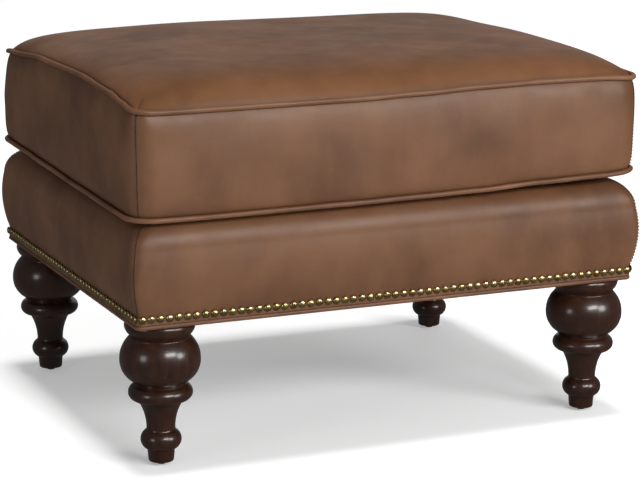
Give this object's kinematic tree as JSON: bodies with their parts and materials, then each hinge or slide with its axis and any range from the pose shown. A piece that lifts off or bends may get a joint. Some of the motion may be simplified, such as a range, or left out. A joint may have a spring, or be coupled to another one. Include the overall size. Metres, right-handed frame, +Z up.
{
  "type": "footstool",
  "caption": "Upholstered footstool: loose boxed leather cushion with welts on a leather-covered base with nail trim and four turned wooden legs.",
  "frame": {"origin": "on the floor, under the middle of the footstool", "axes": "+X along the long side, -Y towards the front seen in the picture, +Z up"},
  "size_m": [0.772, 0.6277, 0.5363],
  "materials": {
    "leather": "satin",
    "welt_leather": "satin",
    "stained_wood": "gloss",
    "antique_brass": "satin",
    "zip_brass": "satin",
    "frame_wood": "matte",
    "zinc_steel": "satin",
    "glide_plastic": "matte",
    "foam": "matte",
    "wadding": "matte",
    "deck_cloth": "matte",
    "dust_cloth": "matte",
    "jute": "matte",
    "zip_tape": "matte"
  },
  "bodies": {
    "base": {"back_rail": "frame_wood", "base_band": "welt_leather", "base_cover": "leather", "base_welt": "welt_leather", "corner_block_back_left": "frame_wood", "corner_block_back_right": "frame_wood", "corner_block_front_left": "frame_wood", "corner_block_front_right": "frame_wood", "deck_cloth": "deck_cloth", "deck_pad": "foam", "dowels": "frame_wood", "dust_cover": "dust_cloth", "front_rail": "frame_wood", "glides": "glide_plastic", "hanger_bolts": "zinc_steel", "hessian": "jute", "left_rail": "frame_wood", "leg_back_left": "stained_wood", "leg_back_right": "stained_wood", "leg_front_left": "stained_wood", "leg_front_right": "stained_wood", "nails_back": "antique_brass", "nails_front": "antique_brass", "nails_left": "antique_brass", "nails_right": "antique_brass", "right_rail": "frame_wood", "side_wadding": "wadding", "tee_nuts": "zinc_steel", "webbing_cross": "jute", "webbing_long": "jute"},
    "cushion": {"cushion_top_panel": "leather", "cushion_boxing": "leather", "cushion_bottom_panel": "leather", "cushion_top_welt": "welt_leather", "cushion_bottom_welt": "welt_leather", "cushion_core": "foam", "cushion_wrap": "wadding", "zip_tape": "zip_tape", "zip_chain": "zip_brass"},
    "zip_slider": {"zip_slider": "zip_brass"},
    "zip_pull": {"zip_pull": "zip_brass"}
  },
  "joints": [
    {"name": "cushion_lift", "type": "slide", "parent": "base", "child": "cushion", "axis": [0, 0, 1], "range_m": [0, 0.25]},
    {"name": "zip_slide", "type": "slide", "parent": "cushion", "child": "zip_slider", "axis": [1, 0, 0], "range_m": [0, 0.493]},
    {"name": "zip_pull_swing", "type": "hinge", "parent": "zip_slider", "child": "zip_pull", "pos_m": [-0.2465, 0.3145, 0.4198], "axis": [0, 0, 1], "range_deg": [0, 175]}
  ]
}
